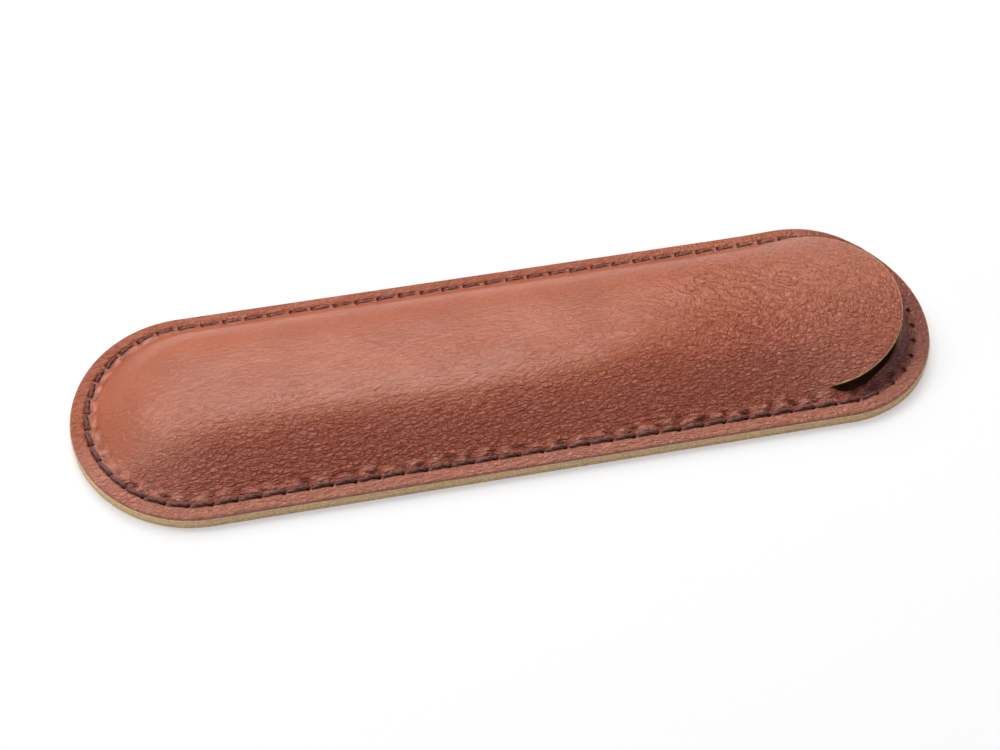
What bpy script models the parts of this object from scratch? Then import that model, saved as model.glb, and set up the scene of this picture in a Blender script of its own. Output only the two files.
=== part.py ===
"""A moulded leather pen case, sewn round its edge, with a lifting tongue over its mouth.

Metres, +Z up. The origin is under the middle of the case, on the surface that it rests on.
+X runs along the case to the mouth. The flat back leather is at the bottom, and the front
leather is moulded into a long dome. A slit near the edge frees the end of the dome as a tongue.
"""

import math

import bmesh
import bpy
from mathutils import Matrix, Vector

# Outline of both leathers: straight sides with elliptical ends
CASE_LENGTH = 0.145
CASE_WIDTH = 0.0472
END_REACH = 0.02

# Leathers
FRONT_THICKNESS = 0.0013
BACK_THICKNESS = 0.0011
EDGE_ROUND = 0.0003
SHOULDER_REACH = 0.0018
SHOULDER_DROP = 0.00065
SHOULDER_SHARES = (0.17, 0.35)

# Lock stitching round the edge
STITCH_MARGIN = 0.0027
STITCH_PITCH = 0.0038
THREAD_DIAMETER = 0.00042
THREAD_GAP = 0.00005
THREAD_CLEARANCE = 0.00005
STITCH_PRESS = 0.00015
SEAT_SHOULDER = 0.0001
SEAT_SLOPE = 0.00035

# Dome of the front leather
DOME_RISE = 0.0075
DOME_END_REACH = 0.019
DOME_SQUARENESS = 3.6
DOME_FULLNESS = 1.6

# Tongue: the freed end of the dome
STRIP_WIDTH = 0.0024
SLIT_WIDTH = 0.0003
TONGUE_ROOT_INSET = 0.0025
TONGUE_ROOT_GAP = 0.0003
TONGUE_DROP = 0.0019
TONGUE_ARCH_RADIUS = 0.045
TONGUE_SPREAD_BEFORE = 0.0055
TONGUE_SPREAD_AFTER = 0.013

# Lip: the strip outside the slit, which stands up round the mouth
LIP_RISE = 0.0018
LIP_START = 0.002
LIP_SPREAD = 0.009
LIP_FOOT_SHARE = 0.15

# How far the cutter reaches past what it cuts
OVERRUN = 0.001

# Mesh layout: facets along each end and side, and rings from the slit to the crown line
END_FACETS = 28
SIDE_SHARES = (-0.95, -0.55, -0.1, 0.35)
ROOT_FACETS = 2
CROWN_SHARES = (1.0, 0.9, 0.8, 0.7, 0.6, 0.5, 0.38, 0.2, 0.0)
PATH_SAMPLES = 4000

# Derived sizes
HALF_STRAIGHT = CASE_LENGTH / 2 - END_REACH
TONGUE_ROOT_X = HALF_STRAIGHT - TONGUE_ROOT_INSET
RIM_HEIGHT = BACK_THICKNESS + FRONT_THICKNESS
THREAD_RADIUS = THREAD_DIAMETER / 2
LEG_OFFSET = (THREAD_DIAMETER + THREAD_GAP) / math.sqrt(2)
HOLE_HALF = LEG_OFFSET + THREAD_RADIUS + THREAD_CLEARANCE
SEAT_HALF = HOLE_HALF + SEAT_SHOULDER
SEAT_HEIGHT = RIM_HEIGHT - STITCH_PRESS
DOME_MARGIN = STITCH_MARGIN + SEAT_HALF
DOME_HALF_WIDTH = CASE_WIDTH / 2 - DOME_MARGIN
DOME_HALF_STRAIGHT = CASE_LENGTH / 2 - DOME_MARGIN - DOME_END_REACH
CROWN_HEIGHT = RIM_HEIGHT + DOME_RISE
SLIT_MARGIN = STITCH_MARGIN + STRIP_WIDTH
TONGUE_TIP_X = CASE_LENGTH / 2 - SLIT_MARGIN
STRIP_MARGIN = SLIT_MARGIN - SLIT_WIDTH
LIP_FOOT_MARGIN = DOME_MARGIN + SEAT_SLOPE
SPREAD_START_X = TONGUE_ROOT_X - TONGUE_SPREAD_BEFORE
SPREAD_END_X = TONGUE_ROOT_X + TONGUE_SPREAD_AFTER
GROOVE_DEPTH = THREAD_DIAMETER + 2 * THREAD_CLEARANCE
NEEDLE_RUN_HEIGHT = SEAT_HEIGHT + THREAD_CLEARANCE + THREAD_RADIUS
BOBBIN_RUN_HEIGHT = THREAD_CLEARANCE + THREAD_RADIUS
LOCK_HEIGHT = (GROOVE_DEPTH + SEAT_HEIGHT) / 2
LOCK_OFFSET = (THREAD_DIAMETER + THREAD_GAP) / 2
HINGE_POINT = Vector((TONGUE_ROOT_X + TONGUE_ROOT_GAP / 2, 0, CROWN_HEIGHT))


def clear_scene():
    for old in list(bpy.data.objects):
        bpy.data.objects.remove(old, do_unlink=True)


def new_collection(name):
    collection = bpy.data.collections.new(name)
    bpy.context.scene.collection.children.link(collection)
    return collection


def new_material(name, colour, roughness):
    material = bpy.data.materials.new(name)
    material.use_nodes = True
    shader = material.node_tree.nodes["Principled BSDF"]
    shader.inputs["Base Color"].default_value = (*colour, 1)
    shader.inputs["Roughness"].default_value = roughness
    shader.inputs["Metallic"].default_value = 0
    material.diffuse_color = (*colour, 1)
    return material


def object_from_bmesh(name, mesh_builder, collection, material, origin):
    """An object with this origin, from a bmesh that is written in world coordinates."""
    bmesh.ops.translate(mesh_builder, verts=mesh_builder.verts, vec=-origin)
    mesh = bpy.data.meshes.new(name)
    mesh_builder.to_mesh(mesh)
    mesh_builder.free()
    mesh.materials.append(material)
    made = bpy.data.objects.new(name, mesh)
    made.location = origin
    collection.objects.link(made)
    mesh.shade_smooth()
    mesh.set_sharp_from_angle(angle=math.radians(35))
    return made


def smooth_step(share):
    share = min(max(share, 0), 1)
    return share * share * (3 - 2 * share)


# Columns: places round the outline. A side column is a place along X, an end column an angle.


def side_stations():
    """Places along a straight side, from the closed end to the mouth."""
    plain = [share * HALF_STRAIGHT for share in SIDE_SHARES]
    step = (TONGUE_ROOT_X - SPREAD_START_X) / ROOT_FACETS
    root = [SPREAD_START_X + step * count for count in range(ROOT_FACETS + 1)]
    return plain + root


def outline_columns():
    """Each column as (side, place along X, angle), once round the case from the near side."""
    stations = side_stations()
    turn = math.pi / END_FACETS
    columns = [("side", x, -1) for x in stations]
    columns += [("mouth", HALF_STRAIGHT, turn * i - math.pi / 2) for i in range(END_FACETS + 1)]
    columns += [("side", x, 1) for x in reversed(stations)]
    columns += [("closed", -HALF_STRAIGHT, turn * i + math.pi / 2) for i in range(END_FACETS + 1)]
    return columns


def ring_place(column, margin, shrink=1):
    """The plan place of a column on the ring that lies margin inside the edge, then drawn in to shrink."""
    side, x, turn = column
    reach = (END_REACH - margin) * shrink
    half = (CASE_WIDTH / 2 - margin) * shrink
    if side == "side":
        return x, turn * half
    return x + reach * math.cos(turn), half * math.sin(turn)


# Surface of the front leather


def crown_height(x):
    """Height of the outer face along the middle, which sinks a little towards the tongue's tip."""
    share = max(x - SPREAD_START_X, 0) / (TONGUE_TIP_X - SPREAD_START_X)
    return CROWN_HEIGHT - TONGUE_DROP * share**2


def dome_height(x, y):
    """Height of the outer face inside the slit line."""
    past_end = max(-x - DOME_HALF_STRAIGHT, 0) / DOME_END_REACH
    spread = past_end**2 + (y / DOME_HALF_WIDTH) ** 2
    rise = crown_height(x) - RIM_HEIGHT
    moulded = RIM_HEIGHT + rise * max(1 - spread ** (DOME_SQUARENESS / 2), 0) ** DOME_FULLNESS
    arched = crown_height(x) - y**2 / (2 * TONGUE_ARCH_RADIUS)
    share = smooth_step((x - SPREAD_START_X) / (SPREAD_END_X - SPREAD_START_X))
    return moulded * (1 - share) + arched * share


def dome_normal(x, y):
    """Which way the outer face looks, from its rise over a short step each way."""
    step = FRONT_THICKNESS / 8
    slope_x = (dome_height(x + step, y) - dome_height(x - step, y)) / (2 * step)
    slope_y = (dome_height(x, y + step) - dome_height(x, y - step)) / (2 * step)
    return Vector((-slope_x, -slope_y, 1)).normalized()


def lip_rise(column):
    """How far the lip stands up at a column: nothing at the slit's ends, the most round the mouth."""
    x = ring_place(column, STRIP_MARGIN)[0]
    return LIP_RISE * smooth_step((x - TONGUE_ROOT_X - LIP_START) / LIP_SPREAD)


def lip_slope(column):
    """The lip's angle above level."""
    rise = lip_rise(column) * (1 - LIP_FOOT_SHARE)
    return math.atan2(rise, STRIP_MARGIN - LIP_FOOT_MARGIN)


RIM_RINGS = {
    "edge": (0, RIM_HEIGHT - SHOULDER_DROP),
    "shoulder": (SHOULDER_REACH * SHOULDER_SHARES[0], RIM_HEIGHT - SHOULDER_DROP * SHOULDER_SHARES[1]),
    "rim_outer": (SHOULDER_REACH, RIM_HEIGHT),
    "rim_inner": (STITCH_MARGIN - SEAT_HALF - SEAT_SLOPE, RIM_HEIGHT),
    "seat_outer": (STITCH_MARGIN - SEAT_HALF, SEAT_HEIGHT),
    "seat_inner": (DOME_MARGIN, SEAT_HEIGHT),
}


def outer_place(key):
    """The point on the front leather's outer face for a (ring, column) key."""
    ring, column = key
    if ring in RIM_RINGS:
        margin, height = RIM_RINGS[ring]
        return Vector((*ring_place(column, margin), height))
    if ring == "foot":
        rise = lip_rise(column) * LIP_FOOT_SHARE
        return Vector((*ring_place(column, LIP_FOOT_MARGIN), RIM_HEIGHT + rise))
    if ring == "lip":
        return Vector((*ring_place(column, STRIP_MARGIN), RIM_HEIGHT + lip_rise(column)))
    x, y = ring_place(column, SLIT_MARGIN, ring)
    return Vector((x, y, dome_height(x, y)))


def under_place(key):
    """The point on the front leather's inner face for the same key."""
    ring, column = key
    if ring in RIM_RINGS:
        margin = RIM_RINGS[ring][0]
        return Vector((*ring_place(column, margin), BACK_THICKNESS))
    if ring in ("foot", "lip"):
        tilt = lip_slope(column) / (2 if ring == "foot" else 1)
        margin = LIP_FOOT_MARGIN if ring == "foot" else STRIP_MARGIN
        inward = margin + FRONT_THICKNESS * math.sin(tilt)
        height = outer_place(key).z - FRONT_THICKNESS * math.cos(tilt)
        return Vector((*ring_place(column, inward), height))
    outer = outer_place(key)
    return outer - FRONT_THICKNESS * dome_normal(outer.x, outer.y)


def crown_key(ring, column):
    """Columns on both sides share their points on the crown line."""
    if ring == 0:
        return (0, ("side", column[1], 0))
    return (ring, column)


def face_cells(rings, columns, closed):
    """Faces between neighbouring rings and columns, as lists of keys, counter-clockwise from above."""
    pairs = list(zip(columns, columns[1:]))
    if closed:
        pairs.append((columns[-1], columns[0]))
    cells = []
    for outer, inner in zip(rings, rings[1:]):
        for left, right in pairs:
            corners = [(outer, left), (outer, right), (inner, right), (inner, left)]
            cell = list(dict.fromkeys(crown_key(*corner) for corner in corners))
            if len(cell) > 2:
                cells.append(cell)
    return cells


def leather_sheet(cells):
    """A closed bmesh with an outer face, an inner face and a cut edge wherever the cells end."""
    builder = bmesh.new()
    keys = dict.fromkeys(key for cell in cells for key in cell)
    outer = {key: builder.verts.new(outer_place(key)) for key in keys}
    under = {key: builder.verts.new(under_place(key)) for key in keys}
    sides = {}
    for cell in cells:
        builder.faces.new([outer[key] for key in cell])
        builder.faces.new([under[key] for key in reversed(cell)])
        sides.update(dict.fromkeys(zip(cell, cell[1:] + cell[:1])))
    for start, end in sides:
        if (end, start) not in sides:
            builder.faces.new([outer[end], outer[start], under[start], under[end]])
    merge_flat_faces(builder)
    return builder


def merge_flat_faces(builder):
    bmesh.ops.dissolve_limit(
        builder,
        angle_limit=math.radians(0.02),
        verts=builder.verts,
        edges=builder.edges,
        delimit={"NORMAL"},
    )


# Pieces


def make_front_panel(collection):
    columns = outline_columns()
    rim = face_cells([*RIM_RINGS, "foot"], columns, closed=True)
    strip_columns = [column for column in columns if column[1] >= TONGUE_ROOT_X]
    strip = face_cells(["foot", "lip"], strip_columns, closed=False)
    # The slit closes to a point at each end, where the lip meets the dome
    for cell in strip:
        for place, (ring, column) in enumerate(cell):
            if ring == "lip" and column[1] == TONGUE_ROOT_X:
                cell[place] = (CROWN_SHARES[0], column)
    start = columns.index(strip_columns[-1])
    dome_columns = columns[start:] + columns[: columns.index(strip_columns[0]) + 1]
    dome = face_cells(["foot", *CROWN_SHARES], dome_columns, closed=False)
    builder = leather_sheet(rim + strip + dome)
    material = new_material("front leather", (0.43, 0.15, 0.09), 0.5)
    return object_from_bmesh("front_panel", builder, collection, material, Vector())


def make_flap_tongue(collection):
    root_x = TONGUE_ROOT_X + TONGUE_ROOT_GAP
    mouth = [column for column in outline_columns() if column[0] == "mouth"]
    columns = [("side", root_x, -1), *mouth, ("side", root_x, 1)]
    builder = leather_sheet(face_cells(CROWN_SHARES, columns, closed=False))
    material = new_material("tongue leather", (0.42, 0.145, 0.085), 0.5)
    return object_from_bmesh("flap_tongue", builder, collection, material, HINGE_POINT)


def make_back_panel(collection):
    """A flat panel with a groove below for the bobbin thread, as a loft of rings from top to bottom."""
    profile = [
        (0, BACK_THICKNESS),
        (0, EDGE_ROUND),
        (EDGE_ROUND, 0),
        (STITCH_MARGIN - SEAT_HALF, 0),
        (STITCH_MARGIN - SEAT_HALF, GROOVE_DEPTH),
        (STITCH_MARGIN + SEAT_HALF, GROOVE_DEPTH),
        (STITCH_MARGIN + SEAT_HALF, 0),
    ]
    columns = outline_columns()
    builder = bmesh.new()
    rings = []
    for margin, height in profile:
        places = [(*ring_place(column, margin), height) for column in columns]
        rings.append([builder.verts.new(place) for place in places])
    for upper, lower in zip(rings, rings[1:]):
        for i in range(len(columns)):
            builder.faces.new([upper[i], upper[i - 1], lower[i - 1], lower[i]])
    builder.faces.new(rings[0])
    builder.faces.new(reversed(rings[-1]))
    merge_flat_faces(builder)
    material = new_material("back leather", (0.40, 0.14, 0.085), 0.55)
    return object_from_bmesh("back_panel", builder, collection, material, Vector())


def stitch_places():
    """Each hole's centre and the direction of the seam there, evenly spaced along the stitch line."""
    turn = math.pi / PATH_SAMPLES
    path = []
    for column_side, x, first in (("mouth", HALF_STRAIGHT, -0.5), ("closed", -HALF_STRAIGHT, 0.5)):
        for i in range(PATH_SAMPLES + 1):
            column = (column_side, x, turn * i + first * math.pi)
            path.append(Vector((*ring_place(column, STITCH_MARGIN), 0)))
    path.append(path[0])
    lengths = [0.0]
    for start, end in zip(path, path[1:]):
        lengths.append(lengths[-1] + (end - start).length)
    count = round(lengths[-1] / STITCH_PITCH)
    step = lengths[-1] / count
    places = []
    index = 0
    for hole in range(count):
        target = step * (hole + 0.5)
        while lengths[index + 1] < target:
            index += 1
        along = (path[index + 1] - path[index]).normalized()
        places.append((path[index] + along * (target - lengths[index]), along))
    return places


def make_hole_cutter(places, collection):
    """One square awl hole through both leathers at each place."""
    builder = bmesh.new()
    height = RIM_HEIGHT + 2 * OVERRUN
    size = Matrix.Diagonal((2 * HOLE_HALF, 2 * HOLE_HALF, height, 1))
    for centre, along in places:
        spot = Matrix.Translation((centre.x, centre.y, RIM_HEIGHT / 2))
        turned = Matrix.Rotation(math.atan2(along.y, along.x), 4, "Z")
        bmesh.ops.create_cube(builder, size=1, matrix=spot @ turned @ size)
    material = new_material("cutter", (0.5, 0.5, 0.5), 0.5)
    cutter = object_from_bmesh("stitch_holes", builder, collection, material, Vector())
    cutter.hide_render = True
    cutter.display_type = "WIRE"
    return cutter


def punch(leather, cutter):
    holes = leather.modifiers.new("stitch holes", "BOOLEAN")
    holes.operation = "DIFFERENCE"
    holes.solver = "EXACT"
    holes.object = cutter


def make_thread(name, places, run_height, lock_height, side, resolution, collection, material):
    """One unbroken thread: a run from hole to hole, and a hook in each hole round the other thread."""
    curve = bpy.data.curves.new(name, "CURVE")
    curve.dimensions = "3D"
    curve.bevel_depth = THREAD_RADIUS
    curve.bevel_resolution = resolution
    curve.use_fill_caps = True
    points = []
    for centre, along in places:
        outward = Vector((along.y, -along.x, 0)) * side
        leg_in = centre + (outward - along) * LEG_OFFSET
        leg_out = centre + (along - outward) * LEG_OFFSET
        for leg, height in (
            (leg_in, run_height),
            (leg_in, lock_height),
            (leg_out, lock_height),
            (leg_out, run_height),
        ):
            points.append((leg.x, leg.y, height, 1))
    spline = curve.splines.new("POLY")
    spline.points.add(len(points) - 1)
    for point, place in zip(spline.points, points):
        point.co = place
    spline.use_cyclic_u = True
    curve.materials.append(material)
    thread = bpy.data.objects.new(name, curve)
    collection.objects.link(thread)
    return thread


def build():
    clear_scene()
    case = new_collection("pen_case")
    cutters = new_collection("cutters")
    places = stitch_places()
    holes = make_hole_cutter(places, cutters)
    front = make_front_panel(case)
    punch(front, holes)
    back = make_back_panel(case)
    punch(back, holes)
    make_flap_tongue(case)
    brown = new_material("sewing thread", (0.06, 0.018, 0.013), 0.45)
    make_thread(
        "needle_thread", places, NEEDLE_RUN_HEIGHT, LOCK_HEIGHT - LOCK_OFFSET, -1, 1, case, brown
    )
    plain = new_material("bobbin thread", (0.06, 0.018, 0.013), 0.45)
    make_thread(
        "bobbin_thread", places, BOBBIN_RUN_HEIGHT, LOCK_HEIGHT + LOCK_OFFSET, 1, 0, case, plain
    )


build()
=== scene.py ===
"""Looks of the moulded leather pen case: grained leather, sewn edge, lifting tongue, studio light.

Metres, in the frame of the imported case: +X to the mouth, +Z up, the back leather on Z 0.
"""

import math

import bpy
import numpy as np
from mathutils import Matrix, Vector


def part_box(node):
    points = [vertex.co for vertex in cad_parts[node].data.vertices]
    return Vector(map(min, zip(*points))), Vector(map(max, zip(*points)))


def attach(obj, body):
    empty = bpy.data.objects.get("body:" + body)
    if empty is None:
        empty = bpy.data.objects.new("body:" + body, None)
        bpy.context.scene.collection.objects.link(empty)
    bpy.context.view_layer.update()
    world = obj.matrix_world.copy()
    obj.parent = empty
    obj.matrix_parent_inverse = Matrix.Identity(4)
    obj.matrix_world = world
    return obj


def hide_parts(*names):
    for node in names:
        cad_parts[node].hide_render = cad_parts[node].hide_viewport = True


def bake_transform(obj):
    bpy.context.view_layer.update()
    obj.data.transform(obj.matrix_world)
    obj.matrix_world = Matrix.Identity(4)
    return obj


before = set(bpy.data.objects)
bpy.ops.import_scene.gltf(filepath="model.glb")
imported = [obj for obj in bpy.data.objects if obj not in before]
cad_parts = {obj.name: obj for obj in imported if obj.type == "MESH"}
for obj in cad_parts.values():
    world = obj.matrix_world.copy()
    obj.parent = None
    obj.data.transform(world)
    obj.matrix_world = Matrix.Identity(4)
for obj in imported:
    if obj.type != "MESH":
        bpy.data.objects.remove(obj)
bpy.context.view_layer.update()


def linear(red, green, blue):
    """A colour given as it shows on screen, 0 to 255, in the shader's linear values."""
    parts = []
    for part in (red / 255, green / 255, blue / 255):
        parts.append(part / 12.92 if part <= 0.04045 else ((part + 0.055) / 1.055) ** 2.4)
    return tuple(parts)


# Sizes of the case, read from its frame where a node shows them
back_low, back_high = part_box("back_panel")
front_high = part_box("front_panel")[1]
CASE_LENGTH = back_high.x - back_low.x
CASE_WIDTH = back_high.y - back_low.y
BACK_THICKNESS = back_high.z - back_low.z
CROWN_HEIGHT = front_high.z

# Sizes that the case was built from
END_REACH = 0.02
FRONT_THICKNESS = 0.0013
SHOULDER_REACH = 0.0018
SHOULDER_DROP = 0.00065
SHOULDER_SHARES = (0.17, 0.35)
STITCH_MARGIN = 0.0027
STITCH_PITCH = 0.0038
THREAD_DIAMETER = 0.00042
THREAD_SPREAD = 1.65
LEG_OFFSET = 0.00033
SEAT_HALF = 0.00069
SEAT_SLOPE = 0.00035
SEAT_PRESS = 0.00015
DOME_END_REACH = 0.019
DOME_SQUARENESS = 3.6
DOME_FULLNESS = 1.6
DOME_WIDENING = 0.07
SLIT_MARGIN = 0.0051
SLIT_WIDTH = 0.0003
TONGUE_ROOT_INSET = 0.0025
TONGUE_DROP = 0.0019
TONGUE_LEAN = 0.018
TONGUE_ARCH_RADIUS = 0.045
TONGUE_SPREAD_BEFORE = 0.0055
TONGUE_SPREAD_AFTER = 0.013
LIP_RISE = 0.0018
LIP_START = 0.002
LIP_SPREAD = 0.009
LIP_FOOT_SHARE = 0.15
LIP_HOLLOW = 1.15
LIP_FADE = 1.6 * LIP_START

HALF_STRAIGHT = CASE_LENGTH / 2 - END_REACH
RIM_HEIGHT = BACK_THICKNESS + FRONT_THICKNESS
TONGUE_ROOT_X = HALF_STRAIGHT - TONGUE_ROOT_INSET
STRIP_MARGIN = SLIT_MARGIN - SLIT_WIDTH
DOME_MARGIN = STITCH_MARGIN + SEAT_HALF
LIP_FOOT_MARGIN = DOME_MARGIN + SEAT_SLOPE
DOME_HALF_WIDTH = CASE_WIDTH / 2 - DOME_MARGIN
DOME_HALF_STRAIGHT = CASE_LENGTH / 2 - DOME_MARGIN - DOME_END_REACH
TONGUE_TIP_X = CASE_LENGTH / 2 - SLIT_MARGIN
SPREAD_START_X = TONGUE_ROOT_X - TONGUE_SPREAD_BEFORE
SPREAD_END_X = TONGUE_ROOT_X + TONGUE_SPREAD_AFTER

# Values of the relief. A span is (start, length), a field of noise is (height, size along, size
# across, seed, layers), and pairs for the grain are (closed end, mouth).
NOISE_GAIN = 1.5
MOUTH_SPAN = (0.002, 0.042)
COARSE_LEAST = (0.3, 0.5)
COARSE_START_Y = (-0.0078, 0.006)
COARSE_SPREAD = (0.007, 0.020)
COARSE_PATCHES = (0.10, 0.011, 0.007, 5, 1)
COARSE_RANGE = (0.05, 1.1)
RIM_COARSE = 0.65
STEEP_SPANS = ((0.016, 0.024), (-0.014, 0.008))
CREASED_SPANS = ((0.012, 0.03), (0, 0.004))

# Painted sheen on the near rim, the closed end and the tongue; painted shade on the lip inside the stitches
# and round the far end of the rim; and the patch of flesh side left without painted shade, where light
# reaches it
SHEEN_SHARE = 0.45
SHEEN_RIM_SPREAD = 0.012
SHEEN_ENDS = 0.24
SHEEN_CLOSED_SPANS = ((0.048, 0.014), (0.008, 0.004))
SHEEN_TONGUE_SPAN = (0.030, 0.025)
SHEEN_TONGUE_SHARE = 0.8
LIP_SHADE_SPANS = ((0, 0.0008), (0.051, 0.006))
RIM_SHADE_SPANS = ((0.055, 0.008), (-0.018, 0.010))
RIM_SHADE_SHARE = 0.6
SEAM_SOFTNESS = 0.0006
# The patch of flesh side left without painted shade, where light reaches it
OLIVE_PLACE = (0.0620, -0.0105)
OLIVE_REACH = 0.0030
OLIVE_SHARE = 0.8

# Seat of the stitches. Pairs of reaches are (along the seam, across it).
HOLE_PULL = 0.00028
HOLE_REACHES = (0.00030, 0.00034)
FURROW_DEPTH = 0.00017
FURROW_REACH = 0.00042
PIT_DEPTH = 0.0006
PIT_CHANGE = 0.3
PIT_ORDER = 12.9898
LUMP_HEIGHT = 0.00038
LUMP_PLACE = 0.00012
LUMP_REACHES = (0.00022, 0.00034)
RIM_BULGE = 0.00007
RIM_BULGE_PLACE = 0.00085
RIM_BULGE_REACH = 0.00055
# Painted shade in the furrow beside the stitches: where it lies and how far it reaches
STITCHED_PLACE = 0.0002
STITCHED_REACH = 0.0005

# Leather that stands up beside the stitches, and its short folds
PUCKER_HEIGHT = 0.00062
PUCKER_PLACE = 0.0011
PUCKER_REACH = 0.0006
PUCKER_LEVEL = 0.35
PUCKER_WANDER = (0.3, 0.004, 0.0015, 21, 1)
PUCKER_NEAR_SPAN = (0.010, 0.006)
PUCKER_CLOSED_SHARE = 0.6
PUCKER_END_SPREAD = 0.006
PUCKER_END_SHARE = 0.4
PUCKER_LEAST = 0.12
FOLDS = (0.00040, 0.0026, 0.00062, 22, 1)
FOLD_LEAN = 0.12
FOLD_PLACE = 1.2 * PUCKER_PLACE
FOLD_REACH = 1.6 * PUCKER_REACH
FOLD_OUTSIDE = 0.4
# How deep a fold must be for its full painted shade or painted highlight
FOLD_SHADE_DEPTH = 0.00020
ROOT_CLEAR = 0.0012

# Creases, wrinkles and swells of the leather
CREASE_TURN = 0.6
CREASE_TURN_LOSS = 0.6
CREASE_TURN_SPREAD = 0.016
CREASE_BEND = (0.0011, 0.005, 0.004, 31, 1)
CREASE_DEPTH = 0.00009
CREASES = (1, 0.0030, 0.00125, 32, 1)
CREASE_WIDTH = 0.16
CREASE_PATCHES = (1, 0.007, 0.004, 35, 1)
CREASE_FADE = 0.0008
WRINKLE_DEPTH = 0.00004
WRINKLES = (1, 0.0017, 0.00085, 33, 1)
WRINKLE_WIDTH = 0.22
SWELLS = (0.00004, 0.009, 0.006, 34, 3)
LIP_FOLDS = (1, 0.0013, 0.0035, 41, 2)
LIP_FOLD_SPAN = (0.002, 0.008)
LIP_FOLD_HEIGHTS = (0.00006, 0.00012)
LIP_FOLD_EDGE = 0.0008

# Cut edges, the curled corner and the flesh side
CORNER_CURL = 0.0007
CORNER_CURL_PLACE = (0.0615, 0.0215)
CORNER_CURL_REACH = 0.0085
SLIT_OPENING = 0.0015
SKIVED_SHARE = 0.5
SKIVED_REACH = 0.0025
TRIM_REACH = 0.0003
EDGED_REACH = 0.0004
GLUE_GAP = 0.00002
FLESH_FUZZ = (0.00003, 0.0011, 0.0011, 61, 2)
FLESH_FREE_RISE = 0.0006
EDGE_FIBRES = (0.00004, 0.0006, 0.4, 71, 2)
EDGE_SWELL = 0.00012
EDGE_SWELL_SHARE = 0.3
EDGE_ROUND = 0.00014
SHARP_ANGLE = math.radians(55)

# Back leather
BACK_COARSE = 0.35
BACK_FURROW = 0.00044
BACK_FURROW_REACH = 0.00055
BACK_HOLE = 0.0003
BACK_HOLE_REACHES = (0.0004, 0.0003)
# Painted shade beside the stitches on the back leather
BACK_STITCHED_REACH = 0.0007
BACK_SWELL_HEIGHT = 0.00004
BACK_SWELLS = (0.5, 0.006, 0.004, 81, 3)
BACK_FIBRES = (0.00004, 0.0006, 0.0005, 72, 2)
BACK_TOP_INSET = 0.00007

# Threads
THREAD_SEED = 7
THREAD_LAY = 0.0040
THREAD_SLANT = 0.00013
THREAD_SINK = 0.00044
MOUTH_SINK = 0.00058
THREAD_WANDER = (0.00004, 0.00003)
STRAND_SHARE = 0.50
STRAND_LEAST = 0.12
THREAD_ENTRY = 0.00016
THREAD_EXIT = 0.00014
NEEDLE_ARCH = 0.00022
BOBBIN_ARCH = -0.00002
NEEDLE_SEAT = 0.30 * THREAD_DIAMETER
BOBBIN_SEAT = 0.95 * THREAD_DIAMETER
NEEDLE_SIDES = 12
BOBBIN_SIDES = 9

# Fineness of the meshes
RIM_STEPS_PER_STITCH = 14
HOLE_CROWDING = 0.10
DOME_STEP = 0.0003
FLESH_STEP = 0.0011
RING_STEP = 0.00028
DOME_HALF = CASE_WIDTH / 2 - SLIT_MARGIN
DOME_INSETS = np.concatenate([[0.00012, 0.0003], np.arange(0.00055, DOME_HALF - RING_STEP / 2, RING_STEP)])
RIM_SHARES = (
    *(0, 0.006, 0.018, 0.036, 0.06, 0.088, 0.116, 0.17, 0.26),
    *(0.37, 0.49, 0.61, 0.71, 0.79, 0.85, 0.9, 0.95),
)
STRIP_SHARES = (0.012, 0.056, 0.104, 0.16, 0.224, 0.3, 0.392, 0.5, 0.62, 0.752, 0.88, 1)
RIM_MARGINS = [share * STITCH_MARGIN for share in RIM_SHARES]
RIM_MARGINS += [STITCH_MARGIN + share * (SLIT_MARGIN - STITCH_MARGIN) for share in STRIP_SHARES]
FLESH_MARGINS = (0.0004, 0.0028, 0.0036, 0.0043)
WALL_SHARES = (0.06, 0.14, 0.24, 0.4, 0.65, 0.88)
BACK_WALL_HEIGHTS = (0.00104, 0.0008, 0.00055, 0.0003, 0.00014)
BACK_EDGE = (0.0001, 0.00004)
BACK_MARGINS = (
    *(0.0003, 0.0010, 0.0016, 0.0019, 0.0021, 0.0023),
    *(0.0025, 0.0027, 0.0029, 0.0031, 0.0035, 0.0044),
)
BACK_SHRINKS = (0.94, 0.87, 0.79, 0.7, 0.6, 0.5, 0.4, 0.3, 0.2, 0.1, 0.03)
BACK_TOP_SHRINKS = (0.95, 0.6, 0.3, 0.05)
LEATHER_FACE, FLESH_FACE = 0, 1

# How near, in steps, two rings' vertices are joined by one edge, and a share past every ring's end
SAME_PLACE = 0.45
PAST_END = 9

# Colours as they show on screen
LEATHER_DEEP = linear(172, 86, 50)
LEATHER_LIGHT = linear(182, 95, 58)
LEATHER_WARM = linear(186, 86, 42)
# Painted shade of the near flank
NEAR_FLANK_SHADE = linear(178, 74, 40)
# Grain valleys, partly dye and partly painted shade; also painted shade in fold hollows and beside the
# stitches
LEATHER_GROOVE = linear(112, 46, 28)
# Painted sheen, and painted highlight on the tops of the folds
SHEEN_PAINT = linear(216, 150, 128)
FLESH_DARK = linear(208, 166, 120)
FLESH_LIGHT = linear(255, 218, 170)
FLESH_OLIVE = linear(168, 140, 94)
THREAD_DARK = linear(66, 34, 31)
THREAD_LIGHT = linear(146, 100, 90)
WHITE = (1, 1, 1, 1)

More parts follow.
